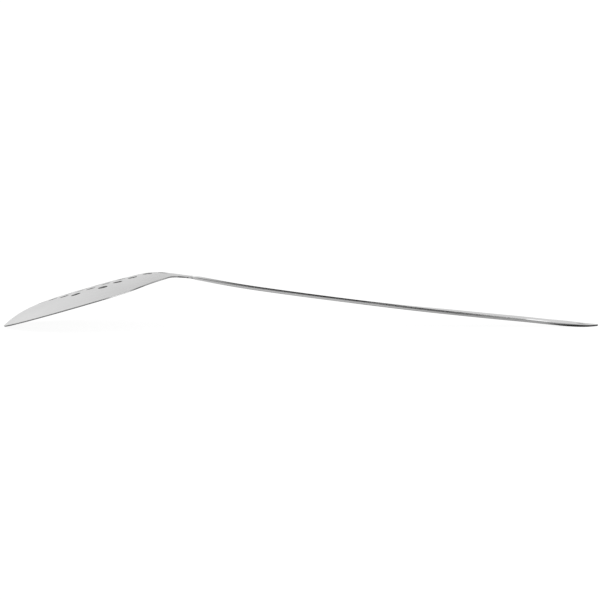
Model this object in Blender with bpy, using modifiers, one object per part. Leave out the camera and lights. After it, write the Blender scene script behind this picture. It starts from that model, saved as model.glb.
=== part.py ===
# Stainless-steel skimmer: a shallow perforated bowl with a short tang, a strip handle welded to it,
# and the weld between them.
#
# It is modelled with the rim of the bowl level and the opening downwards: the origin is the middle of
# the rim, +X runs to the end of the handle and +Z points away from the opening. The whole tool is then
# pitched until it lies on the tip of the rim and on the end of the handle.

from math import atan, atan2, cos, hypot, pi, radians, sin, sqrt, tan

import bmesh
import bpy
from mathutils import Matrix, Vector

# Bowl
BOWL_RADIUS = 0.0542
BOWL_DEPTH = 0.0075
BOWL_FULLNESS = 4.06
BOWL_SHEET = 0.0009

# Drain holes, in a square grid set corner to corner along the tool
HOLE_DIAMETER = 0.0056
HOLE_PITCH = 0.0116
HOLES_PER_SIDE = 6
HOLE_FIELD_SHIFT = 0.0057

# Neck, where the rim of the bowl sweeps into the shank
NECK_FILLET = 0.0154
NECK_BEND = radians(24.1)
NECK_RISE = 0.00085
NECK_BLEND = 0.0357
NECK_CROWN_RADIUS = 0.148
TANG_LENGTH = 0.0076

# Weld between tang and handle, ground down to the sheet of the bowl
WELD_LENGTH = 0.0012
JOINT_GAP = 0.0003

# Handle, measured along its length from the weld
HANDLE_LENGTH = 0.2493
HANDLE_SHEET = 0.0016
HANDLE_TAPER = 0.0030
END_SHEET = 0.0009
END_TAPER = 0.0200
NECK_FLATTENING = 0.0060
SHANK_WIDTH = 0.0140
GRIP_WIDTH = 0.0270
GRIP_HOLLOW = 0.0003
FLARE_START = 0.1035
FLARE_LENGTH = 0.0675
END_LENGTH = 0.0248
END_FULLNESS = 0.72
EDGE_ROUNDING = 0.0003

# Bow of the handle: a knee downwards behind the weld, then three arcs that flatten it again; the one
# along the shank fills what the others leave
KNEE_LENGTH = 0.0030
KNEE_ANGLE = radians(3.7)
NECK_BOW_LENGTH = 0.0402
NECK_BOW_ANGLE = radians(3.67)
SHANK_BOW_ANGLE = radians(3.42)
END_BOW_LENGTH = 0.0135
END_BOW_ANGLE = radians(4.9)

# Hanging hole in the end of the handle
HANG_HOLE_DIAMETER = 0.0080
HANG_HOLE_INSET = 0.0090

# Fineness of the mesh
CIRCLE_STEPS = 54
FILLET_STEPS = 6
TANG_STEPS = 3
BOWL_RINGS = 12
HANDLE_STEPS = 36
STEP_GROWTH = 1.3
END_STEPS = 12
ACROSS_STEPS = 8
HOLE_SEGMENTS = 20
EDGE_SEGMENTS = 2
MERGE_DISTANCE = 0.000001
SHARP_ANGLE = radians(35)

# Where the fillets of the neck touch the rim and where they run out into the shank
SHANK_HALF = SHANK_WIDTH / 2
FILLET_MIDDLE = SHANK_HALF + NECK_FILLET
FILLET_REACH = sqrt((BOWL_RADIUS + NECK_FILLET) ** 2 - FILLET_MIDDLE ** 2)
FILLET_ANGLE = atan2(FILLET_MIDDLE, FILLET_REACH)

# Ends of the tang, the weld and the handle
TANG_END = BOWL_RADIUS + TANG_LENGTH
WELD_START = JOINT_GAP
HANDLE_START = WELD_START + WELD_LENGTH + JOINT_GAP
HANDLE_END = HANDLE_START + HANDLE_LENGTH
END_START = HANDLE_LENGTH - END_LENGTH
SHANK_BOW_LENGTH = HANDLE_LENGTH - KNEE_LENGTH - NECK_BOW_LENGTH - END_BOW_LENGTH


def smooth_step(share):
    share = min(max(share, 0.0), 1.0)
    return share * share * (3.0 - 2.0 * share)


# Materials

def steel(name, colour, roughness):
    material = bpy.data.materials.new(name)
    material.use_nodes = True
    shader = material.node_tree.nodes["Principled BSDF"]
    shader.inputs["Base Color"].default_value = (colour, colour, colour, 1.0)
    shader.inputs["Metallic"].default_value = 1.0
    shader.inputs["Roughness"].default_value = roughness
    return material


# Collections and objects

def new_collection(name):
    collection = bpy.data.collections.new(name)
    bpy.context.scene.collection.children.link(collection)
    return collection


def clear_scene():
    for item in list(bpy.data.objects):
        bpy.data.objects.remove(item, do_unlink=True)


def add_object(name, form, collection):
    mesh = bpy.data.meshes.new(name)
    form.to_mesh(mesh)
    form.free()
    item = bpy.data.objects.new(name, mesh)
    collection.objects.link(item)
    return item


def add_sheet(name, columns, rows, place, thickness, collection):
    """A grid laid on the middle of the sheet and thickened equally to both sides.

    place gives a vertex and thickness gives its share of the sheet, both by column and row."""
    form = bmesh.new()
    bmesh.ops.create_grid(form, x_segments=columns, y_segments=rows, size=0.5)
    layer = form.verts.layers.float.new("thickness")
    for vertex in form.verts:
        column = round((vertex.co.x + 0.5) * columns)
        row = round((vertex.co.y + 0.5) * rows)
        vertex.co = place(column, row)
        vertex[layer] = thickness(column)
    bmesh.ops.remove_doubles(form, verts=form.verts, dist=MERGE_DISTANCE)
    shares = [vertex[layer] for vertex in form.verts]
    item = add_object(name, form, collection)
    thickest = max(shares)
    group = item.vertex_groups.new(name="thickness")
    for index, share in enumerate(shares):
        group.add([index], share / thickest, "REPLACE")
    solidify = item.modifiers.new("sheet", "SOLIDIFY")
    solidify.thickness = thickest
    solidify.offset = 0.0
    solidify.vertex_group = group.name
    return item


def round_edges(item):
    bevel = item.modifiers.new("edges", "BEVEL")
    bevel.width = EDGE_ROUNDING
    bevel.segments = EDGE_SEGMENTS
    bevel.limit_method = "ANGLE"
    bevel.angle_limit = SHARP_ANGLE


def add_cylinder(form, diameter, height, matrix):
    bmesh.ops.create_cone(
        form, cap_ends=True, segments=HOLE_SEGMENTS, radius1=diameter / 2, radius2=diameter / 2,
        depth=height, matrix=matrix)


def cut(item, cutter):
    boolean = item.modifiers.new("holes", "BOOLEAN")
    boolean.operation = "DIFFERENCE"
    boolean.solver = "EXACT"
    boolean.object = cutter
    cutter.hide_render = True
    cutter.display_type = "WIRE"


# Bowl

def tang_height(reach):
    """Middle of the tang over the rim plane: a straight slope through its height at the rim."""
    return NECK_RISE - (reach - BOWL_RADIUS) * tan(NECK_BEND)


def bowl_height(reach, side):
    """The pressed dish, turning into the sloping tang towards the neck."""
    radius = hypot(reach, side)
    dish = BOWL_DEPTH * (1.0 - (radius / BOWL_RADIUS) ** BOWL_FULLNESS)
    tang = tang_height(reach) - side ** 2 / (2.0 * NECK_CROWN_RADIUS)
    share = smooth_step((reach - TANG_END + NECK_BLEND) / NECK_BLEND)
    return dish + (tang - dish) * share


def arc(middle, radius, start, stop, steps):
    points = []
    for step in range(steps + 1):
        angle = start + (stop - start) * step / steps
        points.append((middle[0] + radius * cos(angle), middle[1] + radius * sin(angle)))
    return points


def shoulder_half_width(reach):
    """Half the width of the neck, from where the fillets leave the rim to the even shank."""
    before = min(max(FILLET_REACH - reach, 0.0), NECK_FILLET)
    return FILLET_MIDDLE - sqrt(NECK_FILLET ** 2 - before ** 2)


def bowl_outline():
    """Half of the outline, from the end of the tang to the tip of the rim, then its mirror image."""
    corner = shoulder_half_width(TANG_END)
    tang = [(TANG_END, corner * step / TANG_STEPS) for step in range(TANG_STEPS + 1)]
    start = atan2(corner - FILLET_MIDDLE, min(TANG_END - FILLET_REACH, 0.0))
    fillet = arc((FILLET_REACH, FILLET_MIDDLE), NECK_FILLET, start, FILLET_ANGLE - pi, FILLET_STEPS)
    rim = arc((0.0, 0.0), BOWL_RADIUS, FILLET_ANGLE, pi, CIRCLE_STEPS // 2)
    half = tang + fillet[1:] + rim[1:]
    mirrored = [(reach, -side) for reach, side in reversed(half[:-1])]
    return half + mirrored


def ring_share(row):
    """Rings lie closer together towards the wall of the bowl, where it curves."""
    return sin(row / BOWL_RINGS * pi / 2)


def make_bowl(collection, cutters):
    outline = bowl_outline()

    def place(column, row):
        reach = outline[column][0] * ring_share(row)
        side = outline[column][1] * ring_share(row)
        return Vector((reach, side, bowl_height(reach, side)))

    columns = len(outline) - 1
    bowl = add_sheet("skimmer_bowl", columns, BOWL_RINGS, place, lambda column: BOWL_SHEET, collection)
    cut(bowl, make_hole_cutter(cutters))
    bowl.data.materials.append(steel("satin_steel", 0.66, 0.38))
    return bowl


def hole_places():
    """Grid points counted from the middle of the field; the two corners at the sides stay solid."""
    last = HOLES_PER_SIDE - 1
    for row in range(HOLES_PER_SIDE):
        for column in range(HOLES_PER_SIDE):
            if (row, column) in ((0, last), (last, 0)):
                continue
            reach = HOLE_FIELD_SHIFT + (row + column - last) * HOLE_PITCH / sqrt(2)
            side = (row - column) * HOLE_PITCH / sqrt(2)
            yield reach, side


def make_hole_cutter(cutters):
    form = bmesh.new()
    for reach, side in hole_places():
        middle = Matrix.Translation((reach, side, bowl_height(reach, side)))
        add_cylinder(form, HOLE_DIAMETER, BOWL_DEPTH, middle)
    return add_object("drain_hole_cutter", form, cutters)


# Weld and handle

def handle_line(distance):
    """Middle of the strip and its slope, at a distance along it from the end of the tang."""
    run = min(distance, HANDLE_START)
    reach = TANG_END + run * cos(NECK_BEND)
    height = tang_height(TANG_END) - run * sin(NECK_BEND)
    slope = NECK_BEND
    left = distance - run
    for length, angle in (
            (KNEE_LENGTH, -KNEE_ANGLE), (NECK_BOW_LENGTH, NECK_BOW_ANGLE),
            (SHANK_BOW_LENGTH, SHANK_BOW_ANGLE), (END_BOW_LENGTH, END_BOW_ANGLE)):
        run = min(left, length)
        turn = angle * run / length
        reach += run * cos(slope - turn / 2)
        height -= run * sin(slope - turn / 2)
        slope -= turn
        left -= run
    return reach, height, slope


def handle_half_width(distance):
    """Shoulder, even shank, flare to the grip, and the rounded end."""
    along = distance - HANDLE_START
    flare = (GRIP_WIDTH / 2 - SHANK_HALF) * smooth_step((along - FLARE_START) / FLARE_LENGTH)
    half = shoulder_half_width(handle_line(distance)[0]) + flare
    into_end = min(max((along - END_START) / END_LENGTH, 0.0), 1.0)
    return half * (1.0 - into_end ** 2) ** END_FULLNESS


def handle_thickness(distance):
    """As thin as the weld where it meets it, then even, and thinner again towards the end."""
    thickening = smooth_step((distance - HANDLE_START) / HANDLE_TAPER)
    thinning = smooth_step((distance - HANDLE_END + END_TAPER) / END_TAPER)
    return BOWL_SHEET + (HANDLE_SHEET - BOWL_SHEET) * thickening + (END_SHEET - HANDLE_SHEET) * thinning


def handle_lift(distance, side):
    """Crowned like the tang at the neck, flat along the shank, slightly hollow at the grip."""
    along = distance - HANDLE_START
    crown = (1.0 - smooth_step(along / NECK_FLATTENING)) * side ** 2 / (2.0 * NECK_CROWN_RADIUS)
    flared = smooth_step((along - FLARE_START) / FLARE_LENGTH)
    flattened = smooth_step((along - END_START + END_LENGTH) / END_LENGTH)
    hollow = GRIP_HOLLOW * flared * (1.0 - flattened) * (2.0 * side / GRIP_WIDTH) ** 2
    return hollow - crown


def strip_point(distance, share):
    """A point on the middle of the strip; share runs from -1 to 1 across its width."""
    reach, height, slope = handle_line(distance)
    side = share * handle_half_width(distance)
    lift = handle_lift(distance, side)
    return Vector((reach + lift * sin(slope), side, height + lift * cos(slope)))


def make_weld(collection):
    def place(column, row):
        return strip_point(WELD_START + WELD_LENGTH * column, 2.0 * row / ACROSS_STEPS - 1.0)

    weld = add_sheet("neck_weld", 1, ACROSS_STEPS, place, lambda column: BOWL_SHEET, collection)
    weld.data.materials.append(steel("weld_steel", 0.62, 0.42))
    return weld


def handle_distance(column):
    """Short steps at the knee, longer ones along the shank, then shorter and shorter ones to the end."""
    if column <= HANDLE_STEPS:
        return HANDLE_START + END_START * (column / HANDLE_STEPS) ** STEP_GROWTH
    return HANDLE_START + END_START + END_LENGTH * sin((column - HANDLE_STEPS) / END_STEPS * pi / 2)


def make_handle(collection, cutters):
    def place(column, row):
        return strip_point(handle_distance(column), 2.0 * row / ACROSS_STEPS - 1.0)

    def thickness(column):
        return handle_thickness(handle_distance(column))

    handle = add_sheet("handle", HANDLE_STEPS + END_STEPS, ACROSS_STEPS, place, thickness, collection)
    round_edges(handle)
    cut(handle, make_hang_hole_cutter(cutters))
    handle.data.materials.append(steel("polished_steel", 0.60, 0.16))
    return handle


def make_hang_hole_cutter(cutters):
    reach, height, slope = handle_line(HANDLE_END - HANG_HOLE_INSET)
    form = bmesh.new()
    middle = Matrix.Translation((reach, 0.0, height)) @ Matrix.Rotation(slope, 4, "Y")
    add_cylinder(form, HANG_HOLE_DIAMETER, 10 * HANDLE_SHEET, middle)
    return add_object("hang_hole_cutter", form, cutters)


# Resting pose

def rest_pitch():
    """The steepest line from the lower edge of the rim's tip down to the underside of the handle."""
    wall = atan(BOWL_DEPTH * BOWL_FULLNESS / BOWL_RADIUS)
    tip_reach = -BOWL_RADIUS + BOWL_SHEET / 2 * sin(wall)
    tip_height = -BOWL_SHEET / 2 * cos(wall)
    pitches = []
    for column in range(HANDLE_STEPS + END_STEPS + 1):
        distance = handle_distance(column)
        reach, height, slope = handle_line(distance)
        half = handle_thickness(distance) / 2
        pitches.append(atan2(tip_height - height + half * cos(slope), reach - half * sin(slope) - tip_reach))
    return max(pitches)


def evaluated_points(items):
    graph = bpy.context.evaluated_depsgraph_get()
    for item in items:
        evaluated = item.evaluated_get(graph)
        for vertex in evaluated.data.vertices:
            yield evaluated.matrix_world @ vertex.co


def lay_down(items, cutters, collection):
    """Hang pieces and cutters on one empty, pitch it, and set the tool's middle over the origin."""
    rest = bpy.data.objects.new("skimmer_rest", None)
    collection.objects.link(rest)
    for item in [*items, *cutters]:
        item.parent = rest
    rest.rotation_euler.y = -rest_pitch()
    bpy.context.view_layer.update()
    points = list(evaluated_points(items))
    lengths = [point.x for point in points]
    rest.location.x = -(min(lengths) + max(lengths)) / 2
    rest.location.z = -min(point.z for point in points)
    bpy.context.view_layer.update()


def shade(item):
    """Turn the modifiers into the object's own mesh, smooth but for its edges."""
    graph = bpy.context.evaluated_depsgraph_get()
    mesh = bpy.data.meshes.new_from_object(item.evaluated_get(graph))
    item.modifiers.clear()
    item.data = mesh
    mesh.shade_smooth()
    mesh.set_sharp_from_angle(angle=SHARP_ANGLE)


def main():
    clear_scene()
    collection = new_collection("skimmer")
    cutters = new_collection("cutters")
    bowl = make_bowl(collection, cutters)
    weld = make_weld(collection)
    handle = make_handle(collection, cutters)
    lay_down((bowl, weld, handle), cutters.objects, collection)
    for item in (bowl, weld, handle):
        shade(item)


main()
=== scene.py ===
from math import atan, atan2, ceil, cos, hypot, pi, radians, sin, sqrt, tan

import bpy
from mathutils import Euler, Matrix, Vector
from mathutils.geometry import delaunay_2d_cdt


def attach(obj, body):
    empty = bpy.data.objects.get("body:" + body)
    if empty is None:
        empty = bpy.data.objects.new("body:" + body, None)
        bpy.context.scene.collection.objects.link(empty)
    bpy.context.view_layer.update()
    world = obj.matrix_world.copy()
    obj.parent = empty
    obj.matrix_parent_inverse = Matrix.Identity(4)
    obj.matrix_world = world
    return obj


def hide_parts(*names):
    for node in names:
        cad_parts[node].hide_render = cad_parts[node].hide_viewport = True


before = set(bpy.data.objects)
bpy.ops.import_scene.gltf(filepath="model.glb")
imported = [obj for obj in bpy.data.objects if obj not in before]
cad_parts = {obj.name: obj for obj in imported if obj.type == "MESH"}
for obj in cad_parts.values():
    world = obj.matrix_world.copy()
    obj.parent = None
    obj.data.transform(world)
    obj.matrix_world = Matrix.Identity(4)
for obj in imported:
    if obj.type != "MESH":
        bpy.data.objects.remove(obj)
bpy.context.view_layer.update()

# Sizes of the solids, in metres and radians
BOWL_RADIUS = 0.0542
BOWL_DEPTH = 0.0075
BOWL_FULLNESS = 4.06
BOWL_SHEET = 0.0009
HOLE_DIAMETER = 0.0056
HOLE_PITCH = 0.0116
HOLES_PER_SIDE = 6
HOLE_FIELD_SHIFT = 0.0057
NECK_FILLET = 0.0154
NECK_BEND = radians(24.1)
NECK_RISE = 0.00085
NECK_BLEND = 0.0357
NECK_CROWN_RADIUS = 0.148
TANG_LENGTH = 0.0076
HANDLE_START = 0.0018
HANDLE_LENGTH = 0.2493
HANDLE_SHEET = 0.0016
HANDLE_TAPER = 0.0030
END_SHEET = 0.0009
END_TAPER = 0.0200
NECK_FLATTENING = 0.0060
SHANK_WIDTH = 0.0140
GRIP_WIDTH = 0.0270
GRIP_HOLLOW = 0.0003
FLARE_START = 0.1035
FLARE_LENGTH = 0.0675
END_LENGTH = 0.0248
END_FULLNESS = 0.72
KNEE_LENGTH = 0.0030
KNEE_ANGLE = radians(3.7)
NECK_BOW_LENGTH = 0.0402
NECK_BOW_ANGLE = radians(3.67)
SHANK_BOW_ANGLE = radians(3.42)
END_BOW_LENGTH = 0.0135
END_BOW_ANGLE = radians(4.9)
HANG_HOLE_DIAMETER = 0.0080
HANG_HOLE_INSET = 0.0090

# What follows from them
SHANK_HALF = SHANK_WIDTH / 2
FILLET_MIDDLE = SHANK_HALF + NECK_FILLET
FILLET_REACH = sqrt((BOWL_RADIUS + NECK_FILLET) ** 2 - FILLET_MIDDLE ** 2)
FILLET_ANGLE = atan2(FILLET_MIDDLE, FILLET_REACH)
TANG_END = BOWL_RADIUS + TANG_LENGTH
HANDLE_END = HANDLE_START + HANDLE_LENGTH
END_START = HANDLE_LENGTH - END_LENGTH
SHANK_BOW_LENGTH = HANDLE_LENGTH - KNEE_LENGTH - NECK_BOW_LENGTH - END_BOW_LENGTH

# Roundings of the edges
RIM_ROUNDING = 0.00014
PUNCH_ROUNDING = 0.00012
BURR_ROUNDING = 0.00008
STRIP_ROUNDING = 0.00030
STRIP_ARRIS = 0.00008
HANG_HOLE_ROUNDING = 0.00048

# The strip's edge leans back by a tilt under its upper arris, over a share of the edge's height
SHANK_TILT = radians(4.6)
GRIP_TILT = radians(7.5)
CROWN_SHARE = 0.38

# Weld bead, which overlaps the two sheets and stands a little proud of them
WELD_OVERLAP = 0.00035
WELD_CROWN = 0.00012
WELD_ROUNDING = 0.00025

# Fineness of the meshes: steps along curves, and distances between points. Rows of the grid lie
# a share of its spacing apart, and its points keep a share of it clear of the outlines.
CROWN_STEPS = 3
ROUNDING_STEPS = 4
BOWL_SPACING = 0.0016
HANDLE_SPACING = 0.0014
WELD_SPACING = 0.0006
EDGE_SPACING = 0.0012
HOLE_STEPS = 36
HANG_HOLE_STEPS = 56
END_STEPS = 40
REST_STEPS = 100
ROW_SHARE = 0.866
CLEAR_SHARE = 0.7
NUDGE = 0.00001
MERGE_DISTANCE = 1e-9

# Places in a sheet's list of materials
FACE_SLOT, EDGE_SLOT, HOLE_SLOT = 0, 1, 2


def smooth_step(share):
    share = min(max(share, 0.0), 1.0)
    return share * share * (3.0 - 2.0 * share)


# Middle of the sheet, as in the solids: the bowl by reach and side, the strip by distance and side

def tang_height(reach):
    return NECK_RISE - (reach - BOWL_RADIUS) * tan(NECK_BEND)


def bowl_point(reach, side):
    dish = BOWL_DEPTH * (1.0 - (hypot(reach, side) / BOWL_RADIUS) ** BOWL_FULLNESS)
    tang = tang_height(reach) - side ** 2 / (2.0 * NECK_CROWN_RADIUS)
    share = smooth_step((reach - TANG_END + NECK_BLEND) / NECK_BLEND)
    return Vector((reach, side, dish + (tang - dish) * share))


def handle_line(distance):
    run = min(distance, HANDLE_START)
    reach = TANG_END + run * cos(NECK_BEND)
    height = tang_height(TANG_END) - run * sin(NECK_BEND)
    slope = NECK_BEND
    left = max(distance - HANDLE_START, 0.0)
    for length, angle in (
            (KNEE_LENGTH, -KNEE_ANGLE), (NECK_BOW_LENGTH, NECK_BOW_ANGLE),
            (SHANK_BOW_LENGTH, SHANK_BOW_ANGLE), (END_BOW_LENGTH, END_BOW_ANGLE)):
        run = min(left, length)
        turn = angle * run / length
        reach += run * cos(slope - turn / 2)
        height -= run * sin(slope - turn / 2)
        slope -= turn
        left -= run
    return reach, height, slope


def shoulder_half_width(reach):
    before = min(max(FILLET_REACH - reach, 0.0), NECK_FILLET)
    return FILLET_MIDDLE - sqrt(NECK_FILLET ** 2 - before ** 2)


def handle_half_width(distance):
    along = distance - HANDLE_START
    flare = (GRIP_WIDTH / 2 - SHANK_HALF) * smooth_step((along - FLARE_START) / FLARE_LENGTH)
    half = shoulder_half_width(handle_line(distance)[0]) + flare
    into_end = min(max((along - END_START) / END_LENGTH, 0.0), 1.0)
    return half * (1.0 - into_end ** 2) ** END_FULLNESS


def handle_thickness(distance):
    thickening = smooth_step((distance - HANDLE_START) / HANDLE_TAPER)
    thinning = smooth_step((distance - HANDLE_END + END_TAPER) / END_TAPER)
    return (
        BOWL_SHEET + (HANDLE_SHEET - BOWL_SHEET) * thickening + (END_SHEET - HANDLE_SHEET) * thinning)


def strip_point(distance, side):
    reach, height, slope = handle_line(distance)
    along = distance - HANDLE_START
    crown = (1.0 - smooth_step(along / NECK_FLATTENING)) * side ** 2 / (2.0 * NECK_CROWN_RADIUS)
    flared = smooth_step((along - FLARE_START) / FLARE_LENGTH)
    flattened = smooth_step((along - END_START + END_LENGTH) / END_LENGTH)
    hollow = GRIP_HOLLOW * flared * (1.0 - flattened) * (2.0 * side / GRIP_WIDTH) ** 2
    lift = hollow - crown
    return Vector((reach + lift * sin(slope), side, height + lift * cos(slope)))


def rest_matrix():
    """Pitches the tool on to the tip of the rim and the lowest place near the end, and centres it."""
    wall = atan(BOWL_DEPTH * BOWL_FULLNESS / BOWL_RADIUS)
    tip = Vector((-BOWL_RADIUS, 0.0, 0.0))
    tip_half = Vector((-sin(wall), 0.0, cos(wall))) * BOWL_SHEET / 2
    low, high = tip - tip_half, tip + tip_half
    undersides = []
    for step in range(REST_STEPS + 1):
        distance = HANDLE_END - END_LENGTH * step / REST_STEPS
        reach, height, slope = handle_line(distance)
        half = Vector((sin(slope), 0.0, cos(slope))) * handle_thickness(distance) / 2
        undersides.append(Vector((reach, 0.0, height)) - half)
    pitch = max(atan2(low.z - place.z, place.x - low.x) for place in undersides)
    turn = Matrix.Rotation(-pitch, 4, "Y")
    corners = [turn @ place for place in (low, high, undersides[0])]
    reach, height, _ = handle_line(HANDLE_END)
    corners.append(turn @ (2.0 * Vector((reach, 0.0, height)) - undersides[0]))
    lengths = [corner.x for corner in corners]
    return Matrix.Translation((-(min(lengths) + max(lengths)) / 2, 0.0, -(turn @ low).z)) @ turn


REST = rest_matrix()


# Outlines, counterclockwise round the sheet and clockwise round its holes

def arc(middle, radius, start, stop, steps):
    points = []
    for step in range(steps + 1):
        angle = start + (stop - start) * step / steps
        points.append((middle[0] + radius * cos(angle), middle[1] + radius * sin(angle)))
    return points


def mirrored(half):
    """The other half of an outline whose first and last points lie on the middle line."""
    return half + [(along, -side) for along, side in reversed(half[1:-1])]


def straight(start, stop):
    run, rise = stop[0] - start[0], stop[1] - start[1]
    steps = ceil(hypot(run, rise) / EDGE_SPACING)
    return [(start[0] + run * step / steps, start[1] + rise * step / steps) for step in range(steps + 1)]


def bowl_outline():
    corner = shoulder_half_width(TANG_END)
    start = atan2(corner - FILLET_MIDDLE, min(TANG_END - FILLET_REACH, 0.0))
    stop = FILLET_ANGLE - pi
    fillet_steps = ceil(NECK_FILLET * abs(stop - start) / EDGE_SPACING)
    fillet = arc((FILLET_REACH, FILLET_MIDDLE), NECK_FILLET, start, stop, fillet_steps)
    rim_steps = ceil(BOWL_RADIUS * (pi - FILLET_ANGLE) / EDGE_SPACING)
    rim = arc((0.0, 0.0), BOWL_RADIUS, FILLET_ANGLE, pi, rim_steps)
    half = straight((TANG_END, 0.0), (TANG_END, corner)) + fillet[1:] + rim[1:]
    half[-1] = (-BOWL_RADIUS, 0.0)
    return mirrored(half)


def strip_outline(start, stop, end_curve):
    """Outline of a length of the strip, from the middle of its far end round to the near end."""
    if end_curve:
        shares = [sin(pi / 2 * step / END_STEPS) for step in range(END_STEPS, -1, -1)]
        curve = [stop - END_LENGTH * (1.0 - share) for share in shares]
        side = [(distance, handle_half_width(distance)) for distance in curve]
        far = stop - END_LENGTH
    else:
        side = straight((stop, 0.0), (stop, handle_half_width(stop)))
        far = stop
    steps = max(ceil((far - start) / EDGE_SPACING), 1)
    even = [far + (start - far) * step / steps for step in range(1, steps + 1)]
    side += [(distance, handle_half_width(distance)) for distance in even]
    half = side + straight((start, handle_half_width(start)), (start, 0.0))[1:]
    return mirrored(half)


def hole_outline(middle, diameter, steps):
    points = arc(middle, diameter / 2, 2 * pi, 0.0, steps)
    return points[:-1]


def hole_places():
    last = HOLES_PER_SIDE - 1
    for row in range(HOLES_PER_SIDE):
        for column in range(HOLES_PER_SIDE):
            if (row, column) in ((0, last), (last, 0)):
                continue
            reach = HOLE_FIELD_SHIFT + (row + column - last) * HOLE_PITCH / sqrt(2)
            yield reach, (row - column) * HOLE_PITCH / sqrt(2)


# A sheet with rounded edges, laid out flat, triangulated and put on its surface

def outward(loop, index):
    """Unit vectors along the loop and away from the sheet, in the flat."""
    before = loop[index - 1]
    after = loop[(index + 1) % len(loop)]
    along = Vector((after[0] - before[0], after[1] - before[1])).normalized()
    return along, Vector((along.y, -along.x))


def inside(loop, point):
    result = False
    for index in range(len(loop)):
        a = loop[index - 1]
        b = loop[index]
        if (a[1] > point[1]) != (b[1] > point[1]):
            if point[0] < a[0] + (point[1] - a[1]) / (b[1] - a[1]) * (b[0] - a[0]):
                result = not result
    return result


def within(loops, point):
    """Whether a point lies in the first loop and in none of the others."""
    return inside(loops[0], point) and not any(inside(hole, point) for hole in loops[1:])


def even_points(loops, spacing):
    """A triangular grid of points within the outline that keeps clear of every loop."""
    outline = loops[0]
    low_x, high_x = min(p[0] for p in outline), max(p[0] for p in outline)
    low_y, high_y = min(p[1] for p in outline), max(p[1] for p in outline)
    near = {}

    def cell(point):
        return int(point[0] // spacing), int(point[1] // spacing)

    for loop in loops:
        for point in loop:
            near.setdefault(cell(point), []).append(point)

    def clear(point):
        column, row = cell(point)
        for c in (column - 1, column, column + 1):
            for r in (row - 1, row, row + 1):
                for other in near.get((c, r), ()):
                    if hypot(point[0] - other[0], point[1] - other[1]) < CLEAR_SHARE * spacing:
                        return False
        return True

    rows = int((high_y - low_y) / (spacing * ROW_SHARE))
    points = []
    for row in range(-(rows // 2) - 1, rows // 2 + 2):
        y = (low_y + high_y) / 2 + row * spacing * ROW_SHARE
        x = low_x + (spacing / 2 if row % 2 else 0.0)
        while x < high_x:
            if clear((x, y)) and within(loops, (x, y)):
                points.append((x, y))
            x += spacing
    return points


def edge_profile(half, out, top, bottom, tilt):
    """Steps down the edge of the sheet: way out, way up, and the two parts of the normal.

    The edge leans back by the tilt under its upper rounding and comes upright lower down."""
    wall_top, wall_foot = half - top, bottom - half
    crowned = CROWN_SHARE * (wall_top - wall_foot)
    crown = crowned * tan(tilt) / 2
    quarter = [pi / 2 * step / ROUNDING_STEPS for step in range(ROUNDING_STEPS + 1)]
    steps = []
    for angle in quarter[:-1]:
        rise, run = sin(angle), cos(angle)
        steps.append(((out - crown) * rise, half - top * (1.0 - run), top * rise, (out - crown) * run))
    for step in range(CROWN_STEPS if tilt else 1):
        share = 1.0 - step / CROWN_STEPS
        way_up = wall_top - crowned * (1.0 - share)
        steps.append((out - crown * share ** 2, way_up, cos(tilt * share), sin(tilt * share)))
    if tilt:
        steps.append((out, wall_top - crowned, 1.0, 0.0))
    for angle in quarter:
        rise, run = sin(angle), cos(angle)
        steps.append((out * run, bottom * (1.0 - rise) - half, bottom * run, -out * rise))
    return steps


def inset(loop, distance):
    """The loop, moved into the sheet by the distance."""
    points = []
    for i, point in enumerate(loop):
        away = outward(loop, i)[1]
        points.append((point[0] - away.x * distance, point[1] - away.y * distance))
    return points


def triangulate(name, loops, spacing):
    """Flat points of the loops and between them, and the triangles, all counterclockwise."""
    flat = [point for loop in loops for point in loop]
    sides = []
    first = 0
    for loop in loops:
        sides += [(first + i, first + (i + 1) % len(loop)) for i in range(len(loop))]
        first += len(loop)
    flat += even_points(loops, spacing)
    found = delaunay_2d_cdt([Vector(point) for point in flat], sides, [], 0, MERGE_DISTANCE)
    if len(found[0]) != len(flat):
        raise ValueError(f"{name}: the outline crosses itself")
    order = [source[0] for source in found[3]]
    triangles = []
    for face in found[2]:
        a, b, c = (order[i] for i in face)
        if not within(loops, [(flat[a][i] + flat[b][i] + flat[c][i]) / 3 for i in (0, 1)]):
            continue
        turn = (flat[b][0] - flat[a][0]) * (flat[c][1] - flat[a][1])
        turn -= (flat[c][0] - flat[a][0]) * (flat[b][1] - flat[a][1])
        triangles.append((a, c, b) if turn < 0.0 else (a, b, c))
    return flat, triangles


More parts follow.
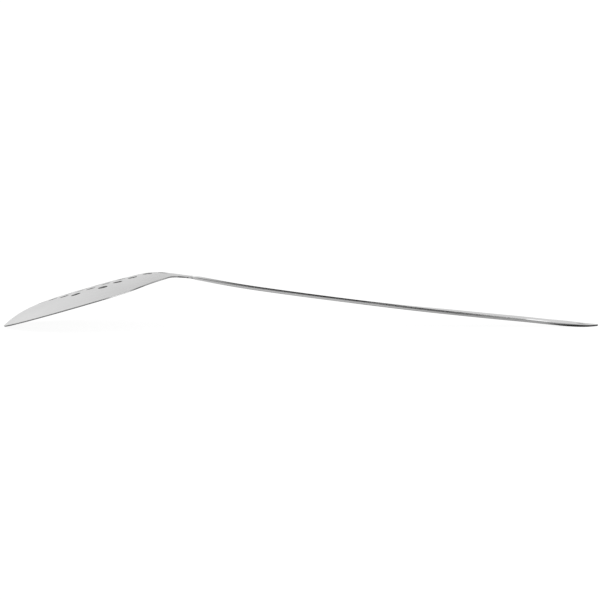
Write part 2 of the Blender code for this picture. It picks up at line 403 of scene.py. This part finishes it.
class Sheet:
    """A sheet of metal. Its outlines are loops in the flat: one round it, and one round each hole.

    Each outline has an edge: its rounding out, on top and below, and its tilt by the distance."""

    def __init__(self, name, outlines, edges, surface, half_thickness, spacing):
        self.name = name
        self.surface = surface
        self.points, self.normals = [], []
        self.faces, self.slots, self.grain = [], [], []
        loops = [inset(outline, edge[0]) for outline, edge in zip(outlines, edges)]
        self.flat, triangles = triangulate(name, loops, spacing)
        self.frames = [self.frame_at(*place) for place in self.flat]
        self.halves = [half_thickness(*place) for place in self.flat]
        self.add_sides(triangles)
        first = 0
        for loop, edge in zip(loops, edges):
            self.add_edge(loop, first, HOLE_SLOT if first else EDGE_SLOT, *edge)
            first += len(loop)

    def frame_at(self, u, v):
        """Middle of the sheet at a flat place, and the normal there."""
        across = self.surface(u + NUDGE, v) - self.surface(u - NUDGE, v)
        along = self.surface(u, v + NUDGE) - self.surface(u, v - NUDGE)
        return self.surface(u, v), across.cross(along).normalized()

    def add_point(self, point, normal):
        self.points.append(point)
        self.normals.append(normal)
        return len(self.points) - 1

    def add_face(self, face, slot, grain):
        self.faces.append(face)
        self.slots.append(slot)
        self.grain.append(grain)

    def add_sides(self, triangles):
        """The upper and the lower side, with the same points in the flat."""
        for sign in (1.0, -1.0):
            for (middle, normal), half in zip(self.frames, self.halves):
                self.add_point(middle + normal * half * sign, normal * sign)
        for a, b, c in triangles:
            places = [self.flat[a], self.flat[b], self.flat[c]]
            self.add_face((a, b, c), FACE_SLOT, places)
            below = len(self.flat)
            self.add_face((c + below, b + below, a + below), FACE_SLOT, places[::-1])

    def add_edge(self, loop, first, slot, rounding, top, bottom, tilt):
        """The edge round a loop, whose points start at the number first."""
        rows = []
        lengths = [0.0]
        for i, place in enumerate(loop):
            along, _ = outward(loop, i)
            ahead = self.surface(place[0] + along.x * NUDGE, place[1] + along.y * NUDGE)
            behind = self.surface(place[0] - along.x * NUDGE, place[1] - along.y * NUDGE)
            middle, normal = self.frames[first + i]
            out = (ahead - behind).cross(normal).normalized()
            profile = edge_profile(self.halves[first + i], rounding, top, bottom, tilt(place[0]))
            row = [first + i]
            for way_out, way_up, part_out, part_up in profile[1:-1]:
                point = middle + out * way_out + normal * way_up
                row.append(self.add_point(point, (out * part_out + normal * part_up).normalized()))
            row.append(first + i + len(self.flat))
            rows.append(row)
            following = loop[(i + 1) % len(loop)]
            lengths.append(lengths[-1] + hypot(following[0] - place[0], following[1] - place[1]))
        for i, row in enumerate(rows):
            following = rows[(i + 1) % len(rows)]
            start, stop = lengths[i], lengths[i + 1]
            for k in range(len(row) - 1):
                high, low = -k * rounding / ROUNDING_STEPS, -(k + 1) * rounding / ROUNDING_STEPS
                self.add_face(
                    (row[k], row[k + 1], following[k + 1], following[k]), slot if k else FACE_SLOT,
                    [(start, high), (start, low), (stop, low), (stop, high)])

    def finished(self, materials):
        """The sheet as an object, in its place at rest."""
        mesh = bpy.data.meshes.new(self.name)
        mesh.from_pydata([REST @ point for point in self.points], [], self.faces)
        for material in materials:
            mesh.materials.append(material)
        mesh.polygons.foreach_set("material_index", self.slots)
        layer = mesh.uv_layers.new(name="grain")
        places = [place for face in self.grain for place in face]
        layer.uv.foreach_set("vector", [value for place in places for value in place])
        mesh.shade_smooth()
        turn = REST.to_3x3()
        mesh.normals_split_custom_set_from_vertices([turn @ normal for normal in self.normals])
        mesh.update()
        item = bpy.data.objects.new(self.name, mesh)
        bpy.context.scene.collection.objects.link(item)
        return item


# Materials

GRAIN_DETAIL = 2.0
GRAIN_ROUGHNESS = 0.6
CLOUD_DETAIL = 3.0
NOISE_SPREAD = 0.22
STREAK_MIX = 0.5
CLOUD_MIX = 0.45
BUMP_STRENGTH = 0.5


class Nodes:
    """Short ways to add and join the nodes of one material."""

    def __init__(self, name):
        self.material = bpy.data.materials.new(name)
        self.material.use_nodes = True
        self.tree = self.material.node_tree
        self.shader = self.tree.nodes["Principled BSDF"]

    def add(self, kind, **values):
        node = self.tree.nodes.new(kind)
        for key, value in values.items():
            setattr(node, key, value)
        return node

    def join(self, start, stop):
        self.tree.links.new(start, stop)

    def grain(self, length, width):
        """Noise drawn out into streaks along the first map direction."""
        place = self.add("ShaderNodeUVMap", uv_map="grain")
        mapping = self.add("ShaderNodeMapping")
        mapping.inputs["Scale"].default_value = (1.0 / length, 1.0 / width, 1.0)
        noise = self.add("ShaderNodeTexNoise", noise_dimensions="2D")
        noise.inputs["Scale"].default_value = 1.0
        noise.inputs["Detail"].default_value = GRAIN_DETAIL
        noise.inputs["Roughness"].default_value = GRAIN_ROUGHNESS
        self.join(place.outputs["UV"], mapping.inputs["Vector"])
        self.join(mapping.outputs["Vector"], noise.inputs["Vector"])
        return noise.outputs["Fac"]

    def cloud(self, size):
        """Even noise in the object's own space."""
        place = self.add("ShaderNodeTexCoord")
        noise = self.add("ShaderNodeTexNoise")
        noise.inputs["Scale"].default_value = 1.0 / size
        noise.inputs["Detail"].default_value = CLOUD_DETAIL
        self.join(place.outputs["Object"], noise.inputs["Vector"])
        return noise.outputs["Fac"]

    def mixed(self, first, second, share):
        mix = self.add("ShaderNodeMix", data_type="FLOAT")
        mix.inputs[0].default_value = share
        self.join(first, mix.inputs[2])
        self.join(second, mix.inputs[3])
        return mix.outputs[0]

    def ranged(self, value, middle, spread):
        """Noise about one half, carried over to the range about the middle."""
        node = self.add("ShaderNodeMapRange")
        node.inputs["From Min"].default_value = 0.5 - NOISE_SPREAD
        node.inputs["From Max"].default_value = 0.5 + NOISE_SPREAD
        node.inputs["To Min"].default_value = middle - spread
        node.inputs["To Max"].default_value = middle + spread
        self.join(value, node.inputs["Value"])
        return node.outputs["Result"]

    def bump(self, value, depth):
        node = self.add("ShaderNodeBump")
        node.inputs["Distance"].default_value = depth
        node.inputs["Strength"].default_value = BUMP_STRENGTH
        self.join(value, node.inputs["Height"])
        self.join(node.outputs["Normal"], self.shader.inputs["Normal"])

    def lie_along_grain(self, amount):
        node = self.add("ShaderNodeTangent", direction_type="UV_MAP", uv_map="grain")
        self.join(node.outputs["Tangent"], self.shader.inputs["Tangent"])
        self.shader.inputs["Anisotropic"].default_value = amount


def steel(name, grey, roughness, fine, broad, cloud_size, bump_depth, anisotropy):
    """Brushed steel.

    grey and roughness are a middle and a spread, fine and broad the length and width of streaks."""
    nodes = Nodes(name)
    streaks = nodes.mixed(nodes.grain(*fine), nodes.grain(*broad), STREAK_MIX)
    nodes.join(nodes.ranged(streaks, *grey), nodes.shader.inputs["Base Color"])
    patches = nodes.mixed(streaks, nodes.cloud(cloud_size), CLOUD_MIX)
    nodes.join(nodes.ranged(patches, *roughness), nodes.shader.inputs["Roughness"])
    nodes.bump(streaks, bump_depth)
    nodes.shader.inputs["Metallic"].default_value = 1.0
    nodes.lie_along_grain(anisotropy)
    return nodes.material


satin = steel(
    "satin_steel", grey=(0.69, 0.020), roughness=(0.36, 0.05),
    fine=(0.020, 0.00025), broad=(0.050, 0.0014), cloud_size=0.018, bump_depth=0.000006, anisotropy=0.45)
polished = steel(
    "polished_steel", grey=(0.62, 0.014), roughness=(0.07, 0.020),
    fine=(0.040, 0.00016), broad=(0.090, 0.0012), cloud_size=0.014, bump_depth=0.0000002, anisotropy=0.20)
# The cut edges' darker grey is partly their duller sheared finish and partly painted shade: it stands in for
# the dark reflections of the shaded floor along the rim and the strip's edges.
cut_edge_with_painted_shade = steel(
    "cut_edge_with_painted_shade", grey=(0.46, 0.020), roughness=(0.13, 0.03),
    fine=(0.006, 0.00012), broad=(0.020, 0.0004), cloud_size=0.008, bump_depth=0.000001, anisotropy=0.20)
# The hole walls' dark grey is partly their rough punched finish and partly painted shade: it stands in for
# the shade seen through the holes under the bowl.
punched_edge_with_painted_shade = steel(
    "punched_edge_with_painted_shade", grey=(0.30, 0.030), roughness=(0.26, 0.04),
    fine=(0.002, 0.00012), broad=(0.004, 0.0004), cloud_size=0.004, bump_depth=0.000002, anisotropy=0.10)
ground_weld = steel(
    "ground_weld", grey=(0.60, 0.035), roughness=(0.40, 0.05),
    fine=(0.0004, 0.0040), broad=(0.0009, 0.0070), cloud_size=0.004, bump_depth=0.000010, anisotropy=0.10)


# Pieces

def upright(distance):
    return 0.0


def strip_tilt(distance):
    """How far the edge of the strip leans back: more on the grip than on the shank."""
    flared = smooth_step((distance - HANDLE_START - FLARE_START) / FLARE_LENGTH)
    return SHANK_TILT + (GRIP_TILT - SHANK_TILT) * flared


def make_bowl():
    holes = [hole_outline(place, HOLE_DIAMETER, HOLE_STEPS) for place in hole_places()]
    edges = [(RIM_ROUNDING, RIM_ROUNDING, RIM_ROUNDING, upright)]
    edges += [(PUNCH_ROUNDING, PUNCH_ROUNDING, BURR_ROUNDING, upright)] * len(holes)
    sheet = Sheet(
        "bowl_sheet", [bowl_outline(), *holes], edges, bowl_point,
        lambda reach, side: BOWL_SHEET / 2, BOWL_SPACING)
    return sheet.finished((satin, cut_edge_with_painted_shade, punched_edge_with_painted_shade))


def make_handle():
    outline = strip_outline(HANDLE_START, HANDLE_END, True)
    hole = hole_outline((HANDLE_END - HANG_HOLE_INSET, 0.0), HANG_HOLE_DIAMETER, HANG_HOLE_STEPS)
    edges = [
        (STRIP_ROUNDING, STRIP_ARRIS, STRIP_ROUNDING, strip_tilt),
        (HANG_HOLE_ROUNDING, HANG_HOLE_ROUNDING, STRIP_ROUNDING, upright),
    ]
    sheet = Sheet(
        "handle_strip", [outline, hole], edges, strip_point,
        lambda distance, side: handle_thickness(distance) / 2, HANDLE_SPACING)
    return sheet.finished((polished, cut_edge_with_painted_shade, polished))


def make_weld():
    start, stop = -WELD_OVERLAP, HANDLE_START + WELD_OVERLAP

    def half_thickness(distance, side):
        share = (distance - start) / (stop - start)
        return (BOWL_SHEET + WELD_CROWN * sin(pi * min(max(share, 0.0), 1.0))) / 2

    edges = [(WELD_ROUNDING, WELD_ROUNDING, WELD_ROUNDING, upright)]
    sheet = Sheet(
        "neck_weld_bead", [strip_outline(start, stop, False)], edges, strip_point,
        half_thickness, WELD_SPACING)
    return sheet.finished((ground_weld, ground_weld))


for piece, node, slot in (
        (make_bowl(), "skimmer_bowl", "satin_steel"),
        (make_handle(), "handle", "polished_steel"),
        (make_weld(), "neck_weld", "weld_steel")):
    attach(piece, "root")
    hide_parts(node)


# Stage

def add_panel(name, corners, faces, material):
    mesh = bpy.data.meshes.new(name)
    mesh.from_pydata(corners, [], faces)
    mesh.materials.append(material)
    item = bpy.data.objects.new(name, mesh)
    bpy.context.scene.collection.objects.link(item)
    return item


def pale(name, grey, glow):
    """A dull paint that also glows a little."""
    material = bpy.data.materials.new(name)
    material.use_nodes = True
    shader = material.node_tree.nodes["Principled BSDF"]
    shader.inputs["Base Color"].default_value = (grey, grey, grey, 1.0)
    shader.inputs["Roughness"].default_value = 1.0
    shader.inputs["Specular IOR Level"].default_value = 0.0
    shader.inputs["Emission Color"].default_value = (1.0, 1.0, 1.0, 1.0)
    shader.inputs["Emission Strength"].default_value = glow
    return material


STAGE_RADIUS = 12.0
STAGE_HEIGHT = 9.0
STAGE_SIDES = 48
FLOOR_GREY, FLOOR_GLOW = 0.14, 0.94
WALL_GREY, WALL_GLOW = 0.0, 1.05


def stage_ring(height):
    angles = [2.0 * pi * side / STAGE_SIDES for side in range(STAGE_SIDES)]
    return [(STAGE_RADIUS * cos(angle), STAGE_RADIUS * sin(angle), height) for angle in angles]


def stage_wall():
    """Faces between a ring at the floor and the ring above it."""
    following = [(side + 1) % STAGE_SIDES for side in range(STAGE_SIDES)]
    return [(side, after, after + STAGE_SIDES, side + STAGE_SIDES) for side, after in enumerate(following)]


floor = add_panel(
    "floor", stage_ring(0.0), [tuple(range(STAGE_SIDES))], pale("pale_floor", FLOOR_GREY, FLOOR_GLOW))
wall = add_panel(
    "wall", stage_ring(0.0) + stage_ring(STAGE_HEIGHT), stage_wall(), pale("pale_wall", WALL_GREY, WALL_GLOW))
for item in (floor, wall):
    item.visible_glossy = False
wall.visible_shadow = False
wall.visible_diffuse = False


def card_paint():
    """Glows as strongly as the card says at each place."""
    material = pale("card_paint", 0.0, 1.0)
    tree = material.node_tree
    glow = tree.nodes.new("ShaderNodeAttribute")
    glow.attribute_name = "glow"
    tree.links.new(glow.outputs["Fac"], tree.nodes["Principled BSDF"].inputs["Emission Strength"])
    return material


CARD_PAINT = card_paint()


def add_card(name, columns):
    """A studio card that only shows in the gloss of the steel: columns of two ends and their glow."""
    corners = [end for first, second, glow in columns for end in (first, second)]
    faces = [(2 * i, 2 * i + 2, 2 * i + 3, 2 * i + 1) for i in range(len(columns) - 1)]
    card = add_panel(name, corners, faces, CARD_PAINT)
    glows = card.data.attributes.new("glow", "FLOAT", "POINT")
    for i, (first, second, glow) in enumerate(columns):
        glows.data[2 * i].value = glow
        glows.data[2 * i + 1].value = glow
    card.visible_camera = False
    card.visible_diffuse = False
    card.visible_shadow = False
    card.visible_transmission = False


def add_floor_card(name, height, front, back, stops):
    add_card(name, [((x, front, height), (x, back, height), glow) for x, glow in stops])


# Floor and wall don't show in the gloss of the steel, and these cards do. Flat ones lie just below the
# floor, the high ones over the low ones. Upright ones stand behind the tool and in front of it. Each has
# a row of places along the tool with the glow there.
CARD_LOW = -0.0010
CARD_HIGH = -0.0008
FRONT_END, NEAR_LINE, MIDDLE_LINE, BACK_END = -3.0, -0.18, -0.03, 3.0
CARD_BEHIND = 0.40
CARD_FRONT = -1.50
FRONT_CARD_FOOT, FRONT_CARD_TOP = 0.080, 0.400

add_floor_card("card_far", CARD_LOW, FRONT_END, NEAR_LINE, (
    (-2.0, 0.75), (-0.15, 0.75), (-0.11, 1.05), (0.045, 1.05), (0.12, 0.90), (2.0, 0.80)))
add_floor_card("card_near", CARD_LOW, NEAR_LINE, MIDDLE_LINE, (
    (-2.0, 0.45), (-0.098, 0.45), (-0.089, 1.60), (-0.062, 1.60), (-0.048, 0.28), (-0.020, 0.28),
    (0.002, 0.70), (0.060, 0.80), (0.130, 0.72), (2.0, 0.80)))
add_floor_card("card_below", CARD_LOW, MIDDLE_LINE, BACK_END, (
    (-2.0, 0.25), (-0.170, 0.25), (-0.140, 0.65), (0.000, 0.70), (0.012, 0.95), (0.026, 0.95),
    (0.038, 0.30), (0.060, 0.30), (0.080, 0.65), (2.0, 0.65)))
# Painted shade in the gloss: the dim cards under the bowl and under the end stand in for the floor in the
# tool's shadow, and the other two dim cards in front of the tool darken the floor that its edges reflect.
add_floor_card("card_tang", CARD_HIGH, -0.125, -0.040, ((0.008, 0.05), (0.045, 0.05)))
add_floor_card("shadow_card_under_bowl", CARD_HIGH, -0.028, 0.028, ((-0.165, 0.04), (-0.085, 0.04)))
add_floor_card("card_beside_bowl", CARD_HIGH, -0.130, -0.069, ((-0.165, 0.04), (-0.104, 0.04)))
add_floor_card("shadow_card_under_end", CARD_HIGH, -0.064, 0.030, ((0.155, 0.03), (0.300, 0.03)))
add_card("card_behind", [
    ((x, CARD_BEHIND, CARD_LOW), (x, CARD_BEHIND, top), glow) for x, top, glow in (
        (-0.088, 0.100, 0.95), (-0.070, 0.098, 0.48), (-0.054, 0.094, 0.18), (-0.042, 0.091, 0.08),
        (0.020, 0.076, 0.03), (0.054, 0.060, 0.03), (0.067, 0.041, 0.03), (0.147, 0.028, 0.03),
        (0.173, 0.019, 0.03), (0.190, 0.012, 0.05), (0.199, 0.010, 0.25), (0.204, 0.021, 1.10),
        (0.226, 0.017, 1.30), (0.242, 0.014, 0.90))])
add_card("card_front", [
    ((x, CARD_FRONT, FRONT_CARD_FOOT), (x, CARD_FRONT, FRONT_CARD_TOP), glow) for x, glow in (
        (-1.20, 0.09), (0.34, 0.09), (0.37, 0.45), (0.41, 0.80))])

SOFTBOX_SIZE = (1.6, 1.2)
SOFTBOX_ENERGY = 2.0
SOFTBOX_PLACE = (0.0, -0.2, 1.5)

softbox = bpy.data.lights.new("softbox", "AREA")
softbox.shape = "RECTANGLE"
softbox.size, softbox.size_y = SOFTBOX_SIZE
softbox.energy = SOFTBOX_ENERGY
lamp = bpy.data.objects.new("softbox", softbox)
lamp.location = SOFTBOX_PLACE
bpy.context.scene.collection.objects.link(lamp)

SKY_BOWL_SIDE, SKY_HANDLE_SIDE = 1.0, 0.56


def make_sky():
    """White all round, a little duller on the side of the handle."""
    world = bpy.data.worlds.new("studio")
    world.use_nodes = True
    tree = world.node_tree
    direction = tree.nodes.new("ShaderNodeTexCoord")
    parts = tree.nodes.new("ShaderNodeSeparateXYZ")
    rise = tree.nodes.new("ShaderNodeMapRange")
    rise.inputs["From Min"].default_value = -0.5
    rise.inputs["From Max"].default_value = 0.5
    rise.inputs["To Min"].default_value = SKY_BOWL_SIDE
    rise.inputs["To Max"].default_value = SKY_HANDLE_SIDE
    tree.links.new(direction.outputs["Generated"], parts.inputs[0])
    tree.links.new(parts.outputs["X"], rise.inputs["Value"])
    tree.links.new(rise.outputs["Result"], tree.nodes["Background"].inputs["Strength"])
    tree.nodes["Background"].inputs["Color"].default_value = (1.0, 1.0, 1.0, 1.0)
    return world


bpy.context.scene.world = make_sky()
bpy.context.scene.view_settings.view_transform = "Standard"
bpy.context.scene.view_settings.look = "None"


# Camera, at the photograph's angle

CAMERA_PLACE = (-0.00107, -0.89614, 0.07672)
CAMERA_PITCH = radians(3.893)
CAMERA_LENS = 88.35
CAMERA_SENSOR = 36.0

camera = bpy.data.cameras.new("camera")
camera.lens = CAMERA_LENS
camera.sensor_width = CAMERA_SENSOR
viewer = bpy.data.objects.new("camera", camera)
viewer.location = CAMERA_PLACE
viewer.rotation_euler = Euler((pi / 2 - CAMERA_PITCH, 0.0, 0.0))
bpy.context.scene.collection.objects.link(viewer)
bpy.context.scene.camera = viewer
